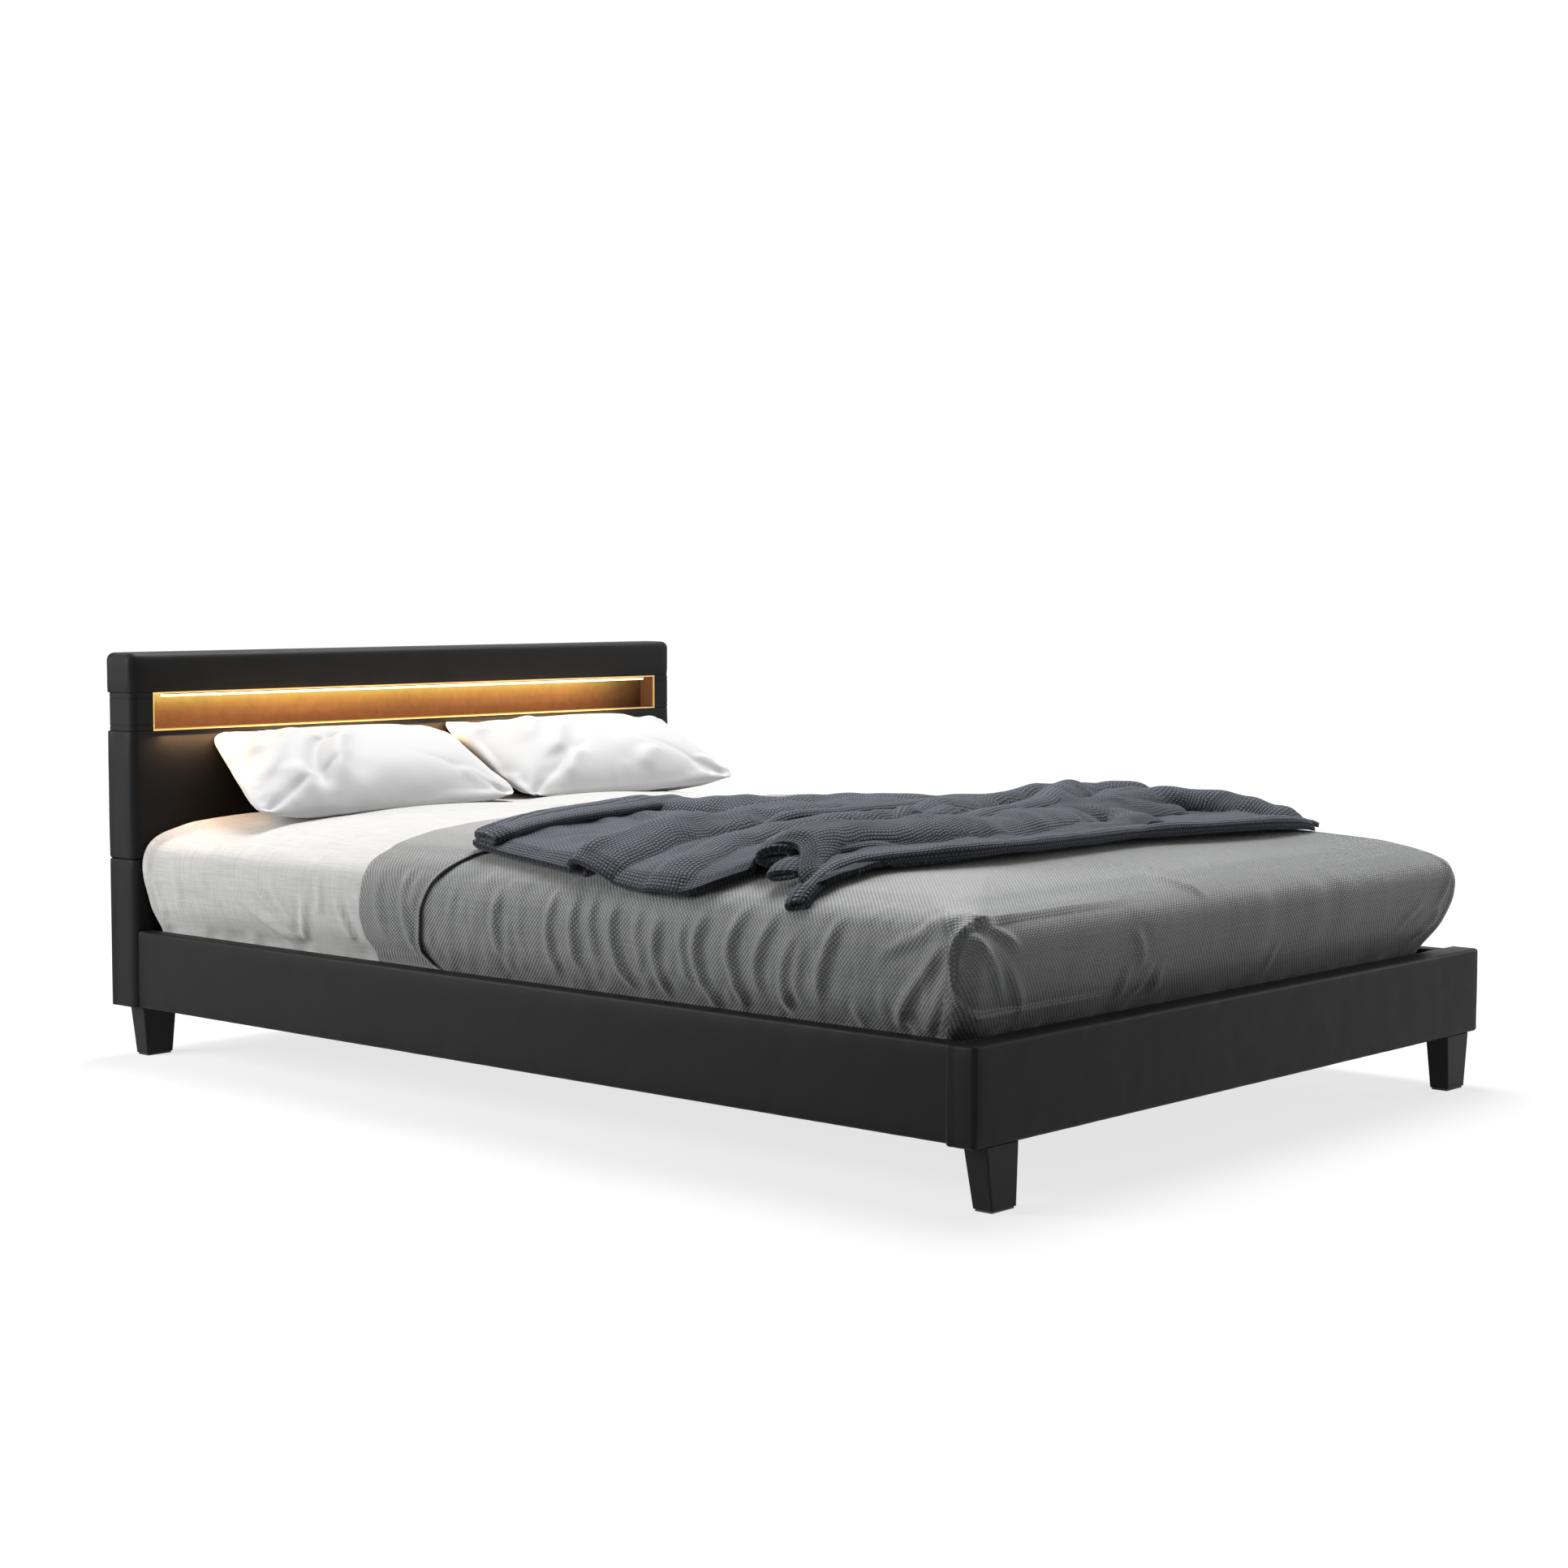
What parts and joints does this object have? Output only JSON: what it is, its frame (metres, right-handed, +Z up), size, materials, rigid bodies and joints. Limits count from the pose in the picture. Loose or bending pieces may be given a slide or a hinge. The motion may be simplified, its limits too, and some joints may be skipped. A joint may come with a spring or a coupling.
{
  "type": "bed",
  "caption": "Low double bed in black leather: lit niche across the headboard, slatted base, mattress, turned-down bedspread, leaning pillows and a knitted throw",
  "frame": {"origin": "middle of the overall plan, on the floor", "axes": "+X to the right seen from the foot, +Y from the foot to the headboard, +Z up"},
  "size_m": [1.5, 2.154, 0.789],
  "materials": {
    "black_leather": "satin",
    "padding_foam": "matte",
    "timber": "matte",
    "plywood": "matte",
    "birch": "satin",
    "webbing": "matte",
    "niche_metal": "satin",
    "niche_suede": "matte",
    "led_aluminium": "satin",
    "led_tape": "matte",
    "led_lens": "satin",
    "cable_sheath": "matte",
    "socket_plastic": "satin",
    "black_steel": "satin",
    "zinc_steel": "satin",
    "back_cloth": "matte",
    "black_wood": "satin",
    "glide_plastic": "matte",
    "mattress_foam": "matte",
    "comfort_foam": "matte",
    "ticking": "matte",
    "linen": "matte",
    "basket_weave": "matte",
    "pillow_fibre": "matte",
    "sateen": "satin",
    "chunky_knit": "matte"
  },
  "bodies": {
    "frame": {"headboard_lower_cover": "black_leather", "headboard_upper_cover": "black_leather", "headboard_top_cover": "black_leather", "niche_end_covers": "black_leather", "side_rail_left_cover": "black_leather", "side_rail_right_cover": "black_leather", "foot_rail_cover": "black_leather", "headboard_lower_foam": "padding_foam", "headboard_upper_foam": "padding_foam", "headboard_top_foam": "padding_foam", "side_rail_left_foam": "padding_foam", "side_rail_right_foam": "padding_foam", "foot_rail_foam": "padding_foam", "headboard_lower_frame": "timber", "headboard_upper_frame": "timber", "headboard_top_rail": "timber", "niche_end_blocks": "timber", "niche_back_board": "timber", "side_rail_left_board": "timber", "side_rail_right_board": "timber", "foot_rail_board": "timber", "slat_ledger_left": "timber", "slat_ledger_right": "timber", "centre_beam": "timber", "headboard_front_panels": "plywood", "slats": "birch", "slat_straps": "webbing", "niche_lining": "niche_metal", "niche_lip": "niche_metal", "niche_back_panel": "niche_suede", "led_channel": "led_aluminium", "led_strip": "led_tape", "led_diffuser": "led_lens", "led_cable": "cable_sheath", "power_inlet": "socket_plastic", "joining_plates": "black_steel", "corner_brackets": "black_steel", "beam_hangers": "black_steel", "joining_screws": "zinc_steel", "bracket_bolts": "zinc_steel", "ledger_screws": "zinc_steel", "hanger_screws": "zinc_steel", "leg_bolts": "zinc_steel", "headboard_back_cloth": "back_cloth", "leg_front_left": "black_wood", "leg_front_right": "black_wood", "leg_rear_left": "black_wood", "leg_rear_right": "black_wood", "centre_legs": "black_wood", "leg_glides": "glide_plastic"},
    "mattress": {"mattress_core": "mattress_foam", "mattress_comfort_layer": "comfort_foam", "mattress_cover": "ticking", "fitted_sheet": "linen", "bedspread": "basket_weave"},
    "pillow_left": {"pillow_left_filling": "pillow_fibre", "pillow_left_case": "sateen"},
    "pillow_right": {"pillow_right_filling": "pillow_fibre", "pillow_right_case": "sateen"},
    "throw": {"throw": "chunky_knit"}
  },
  "joints": [
    {"name": "mattress_lift", "type": "slide", "parent": "frame", "child": "mattress", "axis": [0, 0, 1], "range_m": [0, 0.6]},
    {"name": "pillow_left_lift", "type": "slide", "parent": "mattress", "child": "pillow_left", "axis": [0, 0, 1], "range_m": [0, 0.35]},
    {"name": "pillow_right_lift", "type": "slide", "parent": "mattress", "child": "pillow_right", "axis": [0, 0, 1], "range_m": [0, 0.35]},
    {"name": "throw_lift", "type": "slide", "parent": "mattress", "child": "throw", "axis": [0, 0, 1], "range_m": [0, 0.35]}
  ]
}
